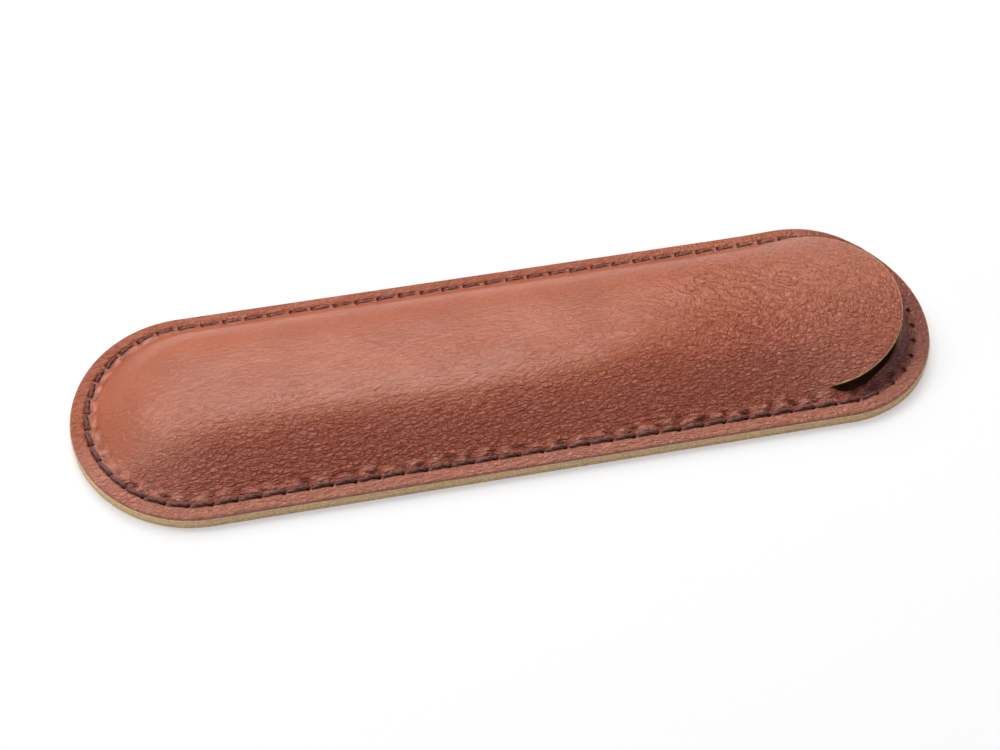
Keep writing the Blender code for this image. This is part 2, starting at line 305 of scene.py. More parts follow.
# Painted shade and highlight over the tan, as (mask, share, colour), and along the cut edges as (mask, low,
# high, share, colour)
SHADE_AND_HIGHLIGHT_LAYERS = (
    # Painted shade on the lip and far rim, painted highlight on fold tops, painted shade in fold hollows,
    # beside the stitches and in the hole mouths
    ("unfaded", 0.85, linear(104, 50, 46)),
    ("raised", 0.4, SHEEN_PAINT),
    ("sunken", 0.7, LEATHER_GROOVE),
    ("stitched", 0.5, LEATHER_GROOVE),
    ("hole", 0.9, linear(46, 20, 17)),
)
# Painted shade along the rounded outer edge of the grained face, and a paler line at the tongue's slit edge,
# partly the grain layer's own paler cut and partly painted highlight
EDGE_LAYERS = (
    ("edged", 0.8, 0.98, 0.8, linear(176, 110, 82)),
    ("trimmed", 0.3, 0.9, 0.7, linear(226, 176, 140)),
)
FLESH_LAYERS = (
    # Painted shade on the lower part of the cut edges and on the flesh sides
    ("under", 0.1, 0.35, 0.92, linear(118, 74, 54)),
    # A light line at the top of each cut edge, partly the grain layer's paler cut and partly painted
    # highlight
    ("cut", 0.7, 0.95, 0.6, linear(255, 232, 204)),
)

# Grain, in cells to a millimetre. The rows lie along the case, and the columns turn up the tongue.
# A winding is (amount, scale).
GRAIN_DEPTH = 0.00023
GRAIN_WINDING = (0.9, 0.8)
ROW_TURN = -0.02
ROW_CELLS = (0.8, 1.75, 1.75)
ROW_WAVE = (0.55, 1.6, 1.6)
COLUMN_TURN = 0.35
COLUMN_CELLS = (1.35, 1.0, 1.0)
COLUMN_WAVE = (1.2, 0.7, 0.7)
CROSSING_WINDING = (0.8, 0.9)
CROSSING_TURN = 0.55
CROSSING_CELLS = (0.22, 0.6, 0.6)
CROSSING_WIDTH = 0.035
VALLEY_WIDTH = 0.18
VALLEY_RELIEF = 0.35
PEBBLE_RELIEF = 0.55
WAVE_RELIEF = 3.0
GRIT_RELIEF = 0.15
CROSSING_RELIEF = 0.7
# Share of painted shade in the crossing creases
CROSSING_SHADE = 0.25
LEATHER_ROUGHNESS = (0.38, 0.40)
LEATHER_SPECULAR = (0.92, 0.45)
FLESH_GRAIN_DEPTH = 0.00012
THREAD_GRAIN_DEPTH = 0.00003

# Camera, floor and lamps. Azimuth 0 is towards the viewer and 90 to the right, in degrees.
SENSOR_WIDTH = 36
PHOTO_WIDTH = 1000
CAMERA_FOCUS_PIXELS = 2286.5
CAMERA_DISTANCE = 0.3825
CAMERA_AZIMUTH = -12.70
CAMERA_ELEVATION = 43.45
CAMERA_TARGET = (-0.001265, 0.0002, 0)
FLOOR_HALF = 3.0
FLOOR_DROP = 0.00005
FLOOR_GLOW = 0.42
FLOOR_SHADE = (0.58, 0.58, 0.585, 1)
WORLD_STRENGTH = 0.03
LAMP_DISTANCE = 1.0

# Each soft box: name, azimuth, elevation, width, depth, power, and whether the sheen shows it
SOFT_BOXES = (
    ("top_soft_box", 171, 62, 0.6, 0.66, 5.2, True),
    ("left_soft_box", 240, 48, 0.35, 0.35, 3.2, True),
    ("back_soft_box", 180, 34, 0.9, 0.45, 4.6, False),
    ("front_soft_box", 350, 50, 1.4, 1.0, 1.4, False),
    ("left_reflector", 285, 15, 0.5, 0.25, 1.8, True),
    ("front_reflector", 340, 9, 0.7, 0.2, 0.4, True),
    ("right_reflector", 75, 16, 0.5, 0.25, 1.4, True),
)


def smooth_step(share):
    share = np.clip(share, 0, 1)
    return share * share * (3 - 2 * share)


def rising(value, start, length):
    """From 0 at the start to 1 past the length."""
    return smooth_step((value - start) / length)


def bell(distance, width):
    return np.exp(-((distance / width) ** 2))


def between(first, second, share):
    return first + (second - first) * share


# Smooth noise on a lattice, the same each run


def lattice_hash(cell, seed):
    value = cell[..., 0] * 374761393 + cell[..., 1] * 668265263 + seed * 974711
    value = (value ^ (value >> 13)) * 1274126177
    value = value ^ (value >> 16)
    return (value & 0xFFFFF) / 0xFFFFF


def noise(along, across, seed):
    """Gradient noise of two coordinates, about -1 to 1, with cells one unit wide."""
    place = np.stack(np.broadcast_arrays(along, across), axis=-1).astype(float)
    cell = np.floor(place).astype(np.int64)
    part = place - cell
    fade = part**3 * (part * (part * 6 - 15) + 10)
    total = 0
    for step in ((0, 0), (0, 1), (1, 0), (1, 1)):
        angle = lattice_hash(cell + step, seed) * 2 * math.pi
        past = part - step
        slope = np.cos(angle) * past[..., 0] + np.sin(angle) * past[..., 1]
        weight = np.where(step, fade, 1 - fade)
        total = total + slope * weight[..., 0] * weight[..., 1]
    return total * NOISE_GAIN


def field_noise(along, across, field):
    """Noise of a field. Each further layer is half as large and half as strong."""
    height, size_along, size_across, seed, layers = field
    total = 0
    for layer in range(layers):
        share = 0.5**layer
        cells = along / (size_along * share), across / (size_across * share)
        total = total + noise(*cells, seed + layer) * share
    return height * total


# Places round the seam. A column is (kind, place along X, turn): kind 0 is a straight side whose
# turn is its sign across, and kinds 1 and -1 are the mouth end and the closed end.


def plan_place(columns, margin, shrink=1.0):
    kind, along, turn = columns.T
    reach = (END_REACH - margin) * shrink
    half = (CASE_WIDTH / 2 - margin) * shrink
    x = np.where(kind == 0, along, along + reach * np.cos(turn))
    y = np.where(kind == 0, turn * half, half * np.sin(turn))
    return x, y


ARC_TURNS = np.linspace(-math.pi / 2, math.pi / 2, 4001)
arc_x = (END_REACH - STITCH_MARGIN) * np.cos(ARC_TURNS)
arc_y = (CASE_WIDTH / 2 - STITCH_MARGIN) * np.sin(ARC_TURNS)
ARC_LENGTHS = np.concatenate([[0], np.cumsum(np.hypot(np.diff(arc_x), np.diff(arc_y)))])
ARC_LENGTH = ARC_LENGTHS[-1]
SIDE_LENGTH = 2 * HALF_STRAIGHT
SEAM_LENGTH = 2 * ARC_LENGTH + 2 * SIDE_LENGTH
STITCH_COUNT = round(SEAM_LENGTH / STITCH_PITCH)
PITCH = SEAM_LENGTH / STITCH_COUNT

# Parts of the seam: where each starts, its kind, and its sign across
SEAM_PARTS = (
    (0, 1, 0),
    (ARC_LENGTH, 0, 1),
    (ARC_LENGTH + SIDE_LENGTH, -1, 0),
    (2 * ARC_LENGTH + SIDE_LENGTH, 0, -1),
)


def seam_columns(seam):
    """Columns at these lengths along the stitch line, from the mouth's near corner round the mouth."""
    seam = np.mod(np.asarray(seam, float), SEAM_LENGTH)
    columns = np.zeros((len(seam), 3))
    for start, kind, side in SEAM_PARTS:
        here = seam >= start
        past = seam[here] - start
        columns[here, 0] = kind
        columns[here, 1] = kind * HALF_STRAIGHT + side * (HALF_STRAIGHT - past)
        columns[here, 2] = side
        if kind:
            columns[here, 2] = np.interp(past, ARC_LENGTHS, ARC_TURNS) + (kind < 0) * math.pi
    return columns


ROOT_LENGTH = HALF_STRAIGHT - TONGUE_ROOT_X
SECTIONS = {
    "near_root": (0, -ROOT_LENGTH, 0),
    "mouth": (1, 0, ARC_LENGTH),
    "far_root": (0, ARC_LENGTH, ARC_LENGTH + ROOT_LENGTH),
    "far": (0, ARC_LENGTH + ROOT_LENGTH, ARC_LENGTH + SIDE_LENGTH),
    "closed": (-1, ARC_LENGTH + SIDE_LENGTH, 2 * ARC_LENGTH + SIDE_LENGTH),
    "near": (0, 2 * ARC_LENGTH + SIDE_LENGTH, SEAM_LENGTH - ROOT_LENGTH),
}
MOUTH_SECTIONS = ("near_root", "mouth", "far_root")
CASE_SECTIONS = ("far", "closed", "near")
ALL_SECTIONS = MOUTH_SECTIONS + CASE_SECTIONS


def section_seams(section, step, scale=1.0):
    """Evenly spaced seam lengths from one end of a section to the other."""
    start, end = SECTIONS[section][1:]
    arc = scale if SECTIONS[section][0] else 1
    count = max(math.floor((end - start) * arc / step + 0.51), 2)
    return np.linspace(start, end, count + 1)


def stitch_seams(section):
    """Seam lengths that fall on the same places of each stitch, closer together at the holes."""
    start, end = SECTIONS[section][1:]
    share = np.arange(RIM_STEPS_PER_STITCH) / RIM_STEPS_PER_STITCH
    warped = share - HOLE_CROWDING * np.sin(2 * math.pi * share)
    first = math.floor(start / PITCH) - 1
    last = math.ceil(end / PITCH) + 1
    seams = np.concatenate([(first + count + 0.5 + warped) * PITCH for count in range(last - first)])
    gap = PITCH / RIM_STEPS_PER_STITCH / 3
    inside = seams[(seams > start + gap) & (seams < end - gap)]
    return np.concatenate([[start], inside, [end]])


# Smooth outer face of the front leather


def crown_height(x):
    share = np.maximum(x - SPREAD_START_X, 0) / (TONGUE_TIP_X - SPREAD_START_X)
    return CROWN_HEIGHT - TONGUE_DROP * share**2


def dome_height(x, y, arch_share=1.0):
    past_end = np.maximum(-x - DOME_HALF_STRAIGHT, 0) / DOME_END_REACH
    spread = past_end**2 + (y / DOME_HALF_WIDTH) ** 2
    rise = crown_height(x) - RIM_HEIGHT
    moulded = RIM_HEIGHT + rise * np.maximum(1 - spread ** (DOME_SQUARENESS / 2), 0) ** DOME_FULLNESS
    arched = crown_height(x) - y**2 / (2 * TONGUE_ARCH_RADIUS)
    share = smooth_step((x - SPREAD_START_X) / (SPREAD_END_X - SPREAD_START_X)) * arch_share
    return moulded * (1 - share) + (arched - TONGUE_LEAN * y) * share


def strip_height(x, y, margin):
    """The dome where it comes down to the rim, outside the slit line."""
    arch_share = smooth_step((margin - DOME_MARGIN) / (SLIT_MARGIN - DOME_MARGIN))
    return dome_height(x, y, arch_share)


def lip_height(columns, x, margin):
    """The strip between the stitches and the slit, which stands up round the mouth."""
    strip_x = plan_place(columns, STRIP_MARGIN)[0]
    rise = LIP_RISE * smooth_step((strip_x - TONGUE_ROOT_X - LIP_START) / LIP_SPREAD)
    inward = np.clip((margin - LIP_FOOT_MARGIN) / (STRIP_MARGIN - LIP_FOOT_MARGIN), 0, 1)
    foot = smooth_step((margin - DOME_MARGIN) / (LIP_FOOT_MARGIN - DOME_MARGIN))
    lip = rise * (LIP_FOOT_SHARE * foot + (1 - LIP_FOOT_SHARE) * inward**LIP_HOLLOW)
    root_y = CASE_WIDTH / 2 - margin
    root = strip_height(np.full_like(x, TONGUE_ROOT_X), root_y, margin) - RIM_HEIGHT
    fade = 1 - smooth_step((x - TONGUE_ROOT_X) / LIP_FADE)
    return RIM_HEIGHT + lip + root * fade


def base_height(columns, x, y, margin, lip):
    """Outer face without its fine relief."""
    if lip:
        return lip_height(columns, x, margin)
    return strip_height(x, y, margin)


def unit(vectors):
    return vectors / np.linalg.norm(vectors, axis=1)[:, None]


def base_normals(columns, x, y, margin, lip):
    """Unit normals of the smooth outer face, from its rise over a short step."""
    step = FRONT_THICKNESS / 10
    if lip:
        inner = plan_place(columns, margin + step)
        outer = plan_place(columns, margin - step)
        rise = lip_height(columns, inner[0], margin + step) - lip_height(columns, outer[0], margin - step)
        inward = np.subtract(inner, outer)
        length = np.linalg.norm(inward, axis=0)
        slope_x, slope_y = rise / length * inward / length
    else:
        slope_x = (strip_height(x + step, y, margin) - strip_height(x - step, y, margin)) / (2 * step)
        slope_y = (strip_height(x, y + step, margin) - strip_height(x, y - step, margin)) / (2 * step)
        if np.all(margin < SLIT_MARGIN):
            tilt_in = strip_height(x, y, margin + step) - strip_height(x, y, margin - step)
            slope_y = slope_y - np.sign(y) * tilt_in / (2 * step)
    return unit(np.stack([-slope_x, -slope_y, np.ones_like(x)], axis=1))


# The far corner of the mouth has curled up from the floor a little


def corner_lift(x, y):
    past = np.hypot(x - CORNER_CURL_PLACE[0], y - CORNER_CURL_PLACE[1])
    rim_share = smooth_step((plan_margin(x, y) - SLIT_MARGIN) / -SLIT_MARGIN)
    return CORNER_CURL * bell(past, CORNER_CURL_REACH) * rim_share


def plan_margin(x, y):
    """About how far inside the outline a place is."""
    past_end = np.maximum(np.abs(x) - HALF_STRAIGHT, 0) / END_REACH
    return (1 - np.hypot(past_end, y / (CASE_WIDTH / 2))) * CASE_WIDTH / 2


# Fine relief of the outer face, along its normal


def coarse_share(x, y):
    """How deep the grain is: little on the closed end and the far side, much at the mouth and near flank."""
    mouth = rising(x, *MOUTH_SPAN)
    least = between(*COARSE_LEAST, mouth)
    grown = smooth_step((between(*COARSE_START_Y, mouth) - y) / between(*COARSE_SPREAD, mouth))
    patches = field_noise(x, y, COARSE_PATCHES)
    return np.clip(least + (1 - least) * grown + patches, *COARSE_RANGE)


def shoulder_fall(margin):
    """How far the rim falls towards its edge, which the cutter has rounded."""
    slope_share = max(1 - margin / SHOULDER_REACH, 0)
    corner_share = max(1 - margin / (SHOULDER_REACH * SHOULDER_SHARES[0]), 0)
    slope = SHOULDER_DROP * SHOULDER_SHARES[1]
    return slope * slope_share**1.5 + (SHOULDER_DROP - slope) * (1 - math.sqrt(1 - corner_share**2))


def painted_sheen_share(x, y, inward):
    """Painted sheen: a lighter, pinker colour on the near rim, the closed end and the tongue."""
    outside = rising(STITCH_MARGIN - inward, 0, SEAM_SOFTNESS)
    closed_x, closed_y = SHEEN_CLOSED_SPANS
    closed = rising(-x, *closed_x) * rising(-y, *closed_y)
    ends = np.maximum(closed, SHEEN_TONGUE_SHARE * rising(x, *SHEEN_TONGUE_SPAN))
    return SHEEN_SHARE * rising(-y, 0, SHEEN_RIM_SPREAD) * outside + SHEEN_ENDS * ends * (1 - outside)


def lip_shade_share(x, y, inward):
    """Painted shade: a darker colour on the lip inside the stitches and round the far end of the rim, where
    the tongue shades them.
    """
    inside, inside_x = LIP_SHADE_SPANS
    rim_x, rim_y = RIM_SHADE_SPANS
    lip_share = rising(inward - STITCH_MARGIN, *inside) * rising(x, *inside_x)
    return np.maximum(lip_share, RIM_SHADE_SHARE * rising(x, *rim_x) * rising(y, *rim_y))


def past_hole(seam):
    """Distance along the seam from the nearest hole."""
    phase = np.mod(seam / PITCH - 0.5, 1.0)
    return np.where(phase > 0.5, phase - 1, phase) * PITCH


def stitch_swell(seam, wander=0.0):
    """From 0 at each hole to 1 in the middle of each stitch."""
    return (1 - np.cos(2 * math.pi * (seam / PITCH - 0.5 + wander))) / 2


def hole_share(seam, margin):
    """The mouth of each hole, which the end of the stitch has pulled open."""
    along, across = HOLE_REACHES
    return bell(past_hole(seam) + HOLE_PULL, along) * bell(margin - STITCH_MARGIN, across)


def stitch_relief(seam, margin):
    """The seat of the stitches: a furrow, a pit at each hole and small lumps of leather beside it."""
    across = margin - STITCH_MARGIN
    depth = 1 + PIT_CHANGE * np.sin(np.floor(seam / PITCH) * PIT_ORDER)
    furrow = -FURROW_DEPTH * bell(across, FURROW_REACH)
    pit = -PIT_DEPTH * depth * hole_share(seam, margin)
    lump_along, lump_across = LUMP_REACHES
    lump = bell(past_hole(seam) - LUMP_PLACE, lump_along) * bell(across, lump_across)
    bulge = RIM_BULGE * bell(across + RIM_BULGE_PLACE, RIM_BULGE_REACH) * stitch_swell(seam)
    return furrow + pit + LUMP_HEIGHT * depth * lump + bulge


def pucker_relief(seam, margin, x, y):
    """The leather that stands up beside each stitch, and the short folds that run in from it."""
    inward = margin - STITCH_MARGIN
    swell = stitch_swell(seam, field_noise(seam, margin, PUCKER_WANDER))
    near_side = rising(-y, *PUCKER_NEAR_SPAN) * between(PUCKER_CLOSED_SHARE, 1, rising(x, *MOUTH_SPAN))
    ends = rising(np.abs(x), HALF_STRAIGHT, PUCKER_END_SPREAD)
    strength = np.clip(near_side + PUCKER_END_SHARE * ends + PUCKER_LEAST, 0, 1)
    bulge = PUCKER_HEIGHT * (swell - PUCKER_LEVEL) * bell(inward - PUCKER_PLACE, PUCKER_REACH)
    fold = field_noise(seam, inward + FOLD_LEAN * seam, FOLDS) * bell(inward - FOLD_PLACE, FOLD_REACH)
    away = rising(np.abs(x - TONGUE_ROOT_X), 0, ROOT_CLEAR)
    return away * strength * np.where(inward > 0, bulge + fold, FOLD_OUTSIDE * fold)


def crease_relief(x, y, flat_y):
    """Wavy creases that run mostly along the case."""
    bend = field_noise(x, flat_y, CREASE_BEND)
    turn = CREASE_TURN * (1 - CREASE_TURN_LOSS * rising(-flat_y, 0, CREASE_TURN_SPREAD))
    along = (x + bend) * np.cos(turn) + flat_y * np.sin(turn)
    across = flat_y * np.cos(turn) - (x - bend) * np.sin(turn)
    crease = bell(field_noise(along, across, CREASES), CREASE_WIDTH)
    wrinkle = bell(field_noise(along + 2 * bend, across, WRINKLES), WRINKLE_WIDTH)
    patchy = 0.5 + 0.5 * smooth_step(0.5 + field_noise(x, flat_y, CREASE_PATCHES))
    depth = coarse_share(x, y) * patchy * (CREASE_DEPTH * crease + WRINKLE_DEPTH * wrinkle)
    return field_noise(x, flat_y, SWELLS) - depth


def lip_relief(seam, margin, x):
    """Folds across the lip, where the leather turns round the mouth."""
    turned = rising(x - TONGUE_ROOT_X, *LIP_FOLD_SPAN)
    fold = field_noise(seam, margin, LIP_FOLDS)
    return turned * fold * between(*LIP_FOLD_HEIGHTS, rising(margin, STITCH_MARGIN, LIP_FOLD_EDGE))


# Meshes. Vertices are kept ring by ring, and neighbouring rings are zipped together.


def run_shares(seams):
    return (seams - seams[0]) / (seams[-1] - seams[0])


class Shell:
    """Vertices, faces and per-vertex masks of one piece, while it is built."""

    def __init__(self):
        self.places = []
        self.masks = []
        self.faces = []
        self.materials = []
        self.count = 0

    def add(self, places, masks):
        """Adds vertices and returns their numbers. Each mask has one number for each vertex."""
        self.places.append(places)
        self.masks.append((len(places), masks))
        numbers = np.arange(self.count, self.count + len(places))
        self.count += len(places)
        return numbers

    def ring(self, sections, seams_of, points_of):
        """Vertices round these sections, as {section: (numbers, shares of the way along)}."""
        runs = {}
        first = last = None
        for section in sections:
            seams = seams_of(section)
            places, masks = points_of(section, seams)
            start = 0 if last is None else 1
            stop = len(seams) - (sections == ALL_SECTIONS and section == sections[-1])
            numbers = self.add(places[start:stop], {key: value[start:stop] for key, value in masks.items()})
            if last is not None:
                numbers = np.concatenate([[last], numbers])
            if first is None:
                first = numbers[0]
            if stop < len(seams):
                numbers = np.concatenate([numbers, [first]])
            last = numbers[-1]
            runs[section] = (numbers, run_shares(seams))
        return runs

    def face(self, numbers, material, flip=False):
        face = list(dict.fromkeys(int(number) for number in numbers))
        if len(face) > 2:
            self.faces.append(face[::-1] if flip else face)
            self.materials.append(material)

    def zip_run(self, outer, inner, material, flip):
        """Faces between two runs, with a triangle wherever one run has more vertices."""
        outer_ids, outer_shares = outer[0], [*outer[1], PAST_END]
        inner_ids, inner_shares = inner[0], [*inner[1], PAST_END]
        i = j = 0
        while i < len(outer_ids) - 1 or j < len(inner_ids) - 1:
            next_i, next_j = outer_shares[i + 1], inner_shares[j + 1]
            shorter = min(next_i - outer_shares[i], next_j - inner_shares[j])
            together = abs(next_i - next_j) < SAME_PLACE * shorter
            step_i = int(together or next_i < next_j)
            step_j = int(together or not step_i)
            corners = [*outer_ids[i : i + 1 + step_i], *inner_ids[j : j + 1 + step_j][::-1]]
            self.face(corners, material, flip)
            i += step_i
            j += step_j

    def zip(self, outer, inner, material, flip=False):
        for section in outer:
            if section in inner:
                self.zip_run(outer[section], inner[section], material, flip)

    def band(self, before, sections, rings, material, flip=False):
        """New rings, each joined to the one before it. A ring is given by its seams and its points."""
        made = []
        for seams_of, points_of in rings:
            made.append(self.ring(sections, seams_of, points_of))
            if before:
                self.zip(before, made[-1], material, flip)
            before = made[-1]
        return made

    def cover(self, before, rings, material, flip=False):
        """Rings from this one in to the crown line, all round."""
        self.close_slot(self.band(before, ALL_SECTIONS, rings, material, flip)[-1], material, flip)

    def close_slot(self, ring, material, flip):
        """Fills the last thin ring on both sides of the crown line."""
        near = np.concatenate([ring["near"][0], ring["near_root"][0][1:]])
        far = np.concatenate([ring["far_root"][0], ring["far"][0][1:]])[::-1]
        for i in range(len(near) - 1):
            self.face([near[i], near[i + 1], far[i + 1], far[i]], material, flip)
        self.face(ring["mouth"][0], material, flip)
        self.face(ring["closed"][0], material, flip)

    def finish(self, name, materials):
        places = np.concatenate(self.places)
        mesh = bpy.data.meshes.new(name)
        mesh.from_pydata(places.tolist(), [], self.faces)
        mesh.polygons.foreach_set("material_index", np.array(self.materials, np.int32))
        for material in materials:
            mesh.materials.append(material)
        return piece_from_mesh(mesh, places, self.masks)


def piece_from_mesh(mesh, places, masks):
    """An object with smooth shading, its places at rest in millimetres, and its masks as attributes."""
    places = places + np.outer(corner_lift(places[:, 0], places[:, 1]), (0, 0, 1))
    mesh.vertices.foreach_set("co", places.astype(np.float32).ravel())
    rest = mesh.attributes.new("rest_mm", "FLOAT_VECTOR", "POINT")
    rest.data.foreach_set("vector", (places * 1000).astype(np.float32).ravel())
    for mask in sorted({key for count, filled in masks for key in filled}):
        values = [filled.get(mask, np.zeros(count)) for count, filled in masks]
        attribute = mesh.attributes.new(mask, "FLOAT", "POINT")
        attribute.data.foreach_set("value", np.concatenate(values).astype(np.float32))
    mesh.shade_smooth()
    mesh.set_sharp_from_angle(angle=SHARP_ANGLE)
    piece = bpy.data.objects.new(mesh.name, mesh)
    bpy.context.scene.collection.objects.link(piece)
    return piece


# Rings of the leathers


def section_columns(section, seams):
    """Columns of a section, kept on its own side of the places where straight and curved meet."""
    start, end = SECTIONS[section][1:]
    hair = 1e-9
    return seam_columns(np.clip(seams, start + hair, end - hair))


def lip_margin(columns, margin):
    """The slit closes to a point at its ends, so the lip's rings spread there."""
    x = plan_place(columns, margin)[0]
    inward = np.clip((margin - DOME_MARGIN) / (SLIT_MARGIN - DOME_MARGIN), 0, 1)
    return margin - SLIT_WIDTH * freed_share(x) * inward


def flat_across(y):
    """Distance from the crown line, measured over the dome instead of in plan."""
    share = np.clip(np.abs(y) / DOME_HALF_WIDTH, 0, 1)
    return y * (1 + DOME_WIDENING * share**2)


def smooth_points(section, seams, margin, shrink, lip):
    """Places and normals of the front leather's outer face, without fine relief."""
    columns = section_columns(section, seams)
    margins = np.full(len(seams), margin)
    if lip:
        margins = lip_margin(columns, margin)
    x, y = plan_place(columns, margins, shrink)
    height = base_height(columns, x, y, margins, lip)
    normals = base_normals(columns, x, y, margins, lip)
    return np.stack([x, y, height], axis=1), normals, margins


def from_rim(margin, shrink):
    """Distance inside the outline of a ring that is shrunk towards the middle."""
    return margin + (1 - shrink) * (CASE_WIDTH / 2 - margin)


def freed_share(x):
    """The part of the leather that the slit has freed, past the tongue's root."""
    return rising(x, TONGUE_ROOT_X, SLIT_OPENING)


def outer_points(margin, shrink=1.0, lip=False, edge=0.0):
    """A ring of the grained face. The edge of a cut in it is rounded down by edge."""

    def points_of(section, seams):
        places, normals, margins = smooth_points(section, seams, margin, shrink, lip)
        x, y = places[:, 0], places[:, 1]
        inward = from_rim(margins, shrink)
        folds = pucker_relief(seams, inward, x, y)
        relief = crease_relief(x, y, flat_across(y)) * smooth_step(margin / CREASE_FADE) + folds
        if shrink == 1:
            relief = relief + stitch_relief(seams, margins)
            places[:, 2] -= shoulder_fall(margin)
        if lip:
            relief = relief + lip_relief(seams, margins, x)
        if section in MOUTH_SECTIONS:
            relief = relief - edge * freed_share(x)
        outside = rising(STITCH_MARGIN - inward, 0, SEAM_SOFTNESS)
        steep_x, steep_y = STEEP_SPANS
        creased_x, creased_inward = CREASED_SPANS
        masks = {
            "coarse": np.maximum(coarse_share(x, y), RIM_COARSE * outside),
            "steep": rising(x, *steep_x) * rising(y, *steep_y),
            # Painted sheen on the near rim, the closed end and the tongue
            "pale": painted_sheen_share(x, y, inward),
            "creased": rising(x, *creased_x) * rising(inward - STITCH_MARGIN, *creased_inward),
            # Painted shade in the hollows of the folds beside the stitches, and painted highlight on their
            # tops
            "sunken": smooth_step(-folds / FOLD_SHADE_DEPTH) * (not lip),
            "raised": smooth_step(folds / FOLD_SHADE_DEPTH) * (not lip),
            # Painted shade in the furrow beside the stitches
            "stitched": bell(inward - STITCH_MARGIN - STITCHED_PLACE, STITCHED_REACH),
            # Painted shade on the lip and round the far end of the rim
            "unfaded": lip_shade_share(x, y, inward) * lip,
            # Painted shade in the mouth of each hole
            "hole": hole_share(seams, inward),
            # A paler line at the tongue's slit edge, partly its own cut and partly painted highlight, and
            # painted shade along the rounded outer edge
            "trimmed": freed_share(x) * bell(inward - SLIT_MARGIN, TRIM_REACH) * (not lip),
            "edged": np.full(len(x), bell(margin, EDGED_REACH) * (shrink == 1)),
        }
        return places + normals * relief[:, None], masks

    return points_of


def shaded_share(places):
    """How much painted shade the flesh sides get. It is left off in one patch by the mouth's near corner,
    where light reaches the flesh.
    """
    past = np.hypot(places[:, 0] - OLIVE_PLACE[0], places[:, 1] - OLIVE_PLACE[1])
    return 1 - OLIVE_SHARE * bell(past, OLIVE_REACH)


def flesh_points(margin, shrink=1.0, lip=False):
    """A ring of the front leather's inner face, which lies on the back leather round the rim."""

    def points_of(section, seams):
        places, normals, margins = smooth_points(section, seams, margin, shrink, lip)
        skived = bell(from_rim(margins, shrink) - SLIT_MARGIN, SKIVED_REACH)
        skived = SKIVED_SHARE * freed_share(places[:, 0]) * skived * (not lip)
        places = places - normals * (FRONT_THICKNESS * (1 - skived))[:, None]
        floor = BACK_THICKNESS + GLUE_GAP
        places[:, 2] = np.maximum(places[:, 2], floor)
        fuzz = field_noise(places[:, 0], places[:, 1], FLESH_FUZZ)
        free = rising(places[:, 2], floor, FLESH_FREE_RISE)
        places = places + normals * (fuzz * free)[:, None]
        # Painted shade on the flesh side
        return places, {"cut": np.zeros(len(places)), "under": shaded_share(places)}

    return points_of


def outward_of(columns, margin, reach, side=1):
    """Unit directions out of the outline in plan. Side is -1 where a cut edge looks inwards."""
    inner = np.stack(plan_place(columns, margin + reach), axis=1)
    return unit(side * (np.stack(plan_place(columns, margin), axis=1) - inner))


def wall_points(margin, share, lip=False, side=1, swell=0.0, under=0.0):
    """A ring of a cut edge, this share of the way down."""

    def points_of(section, seams):
        top = outer_points(margin, lip=lip)(section, seams)[0]
        bottom = flesh_points(margin, lip=lip)(section, seams)[0]
        outward = outward_of(section_columns(section, seams), margin, FRONT_THICKNESS, side)
        fibre = field_noise(seams, np.full(len(seams), share), EDGE_FIBRES)
        push = math.sin(math.pi * share) * fibre + swell * smooth_step(share / EDGE_SWELL_SHARE)
        places = top * (1 - share) + bottom * share
        places[:, :2] += outward * push[:, None]
        # Painted shade, growing towards the bottom of the cut edge
        shaded = under * share * shaded_share(places)
        # The top of the edge lighter, partly its own paler cut and partly painted highlight
        return places, {"cut": np.full(len(places), 1.0 - share), "under": shaded}

    return points_of


def even_seams(step, shrink=1.0):
    def seams_of(section):
        return section_seams(section, step, shrink)

    return seams_of


def wall_rings(margin, **settings):
    """The rings of a cut edge, from its top to its bottom."""
    return [(stitch_seams, wall_points(margin, share, **settings)) for share in WALL_SHARES]


def flesh_rings(margins, lip=False):
    return [(even_seams(FLESH_STEP), flesh_points(margin, lip=lip)) for margin in margins]


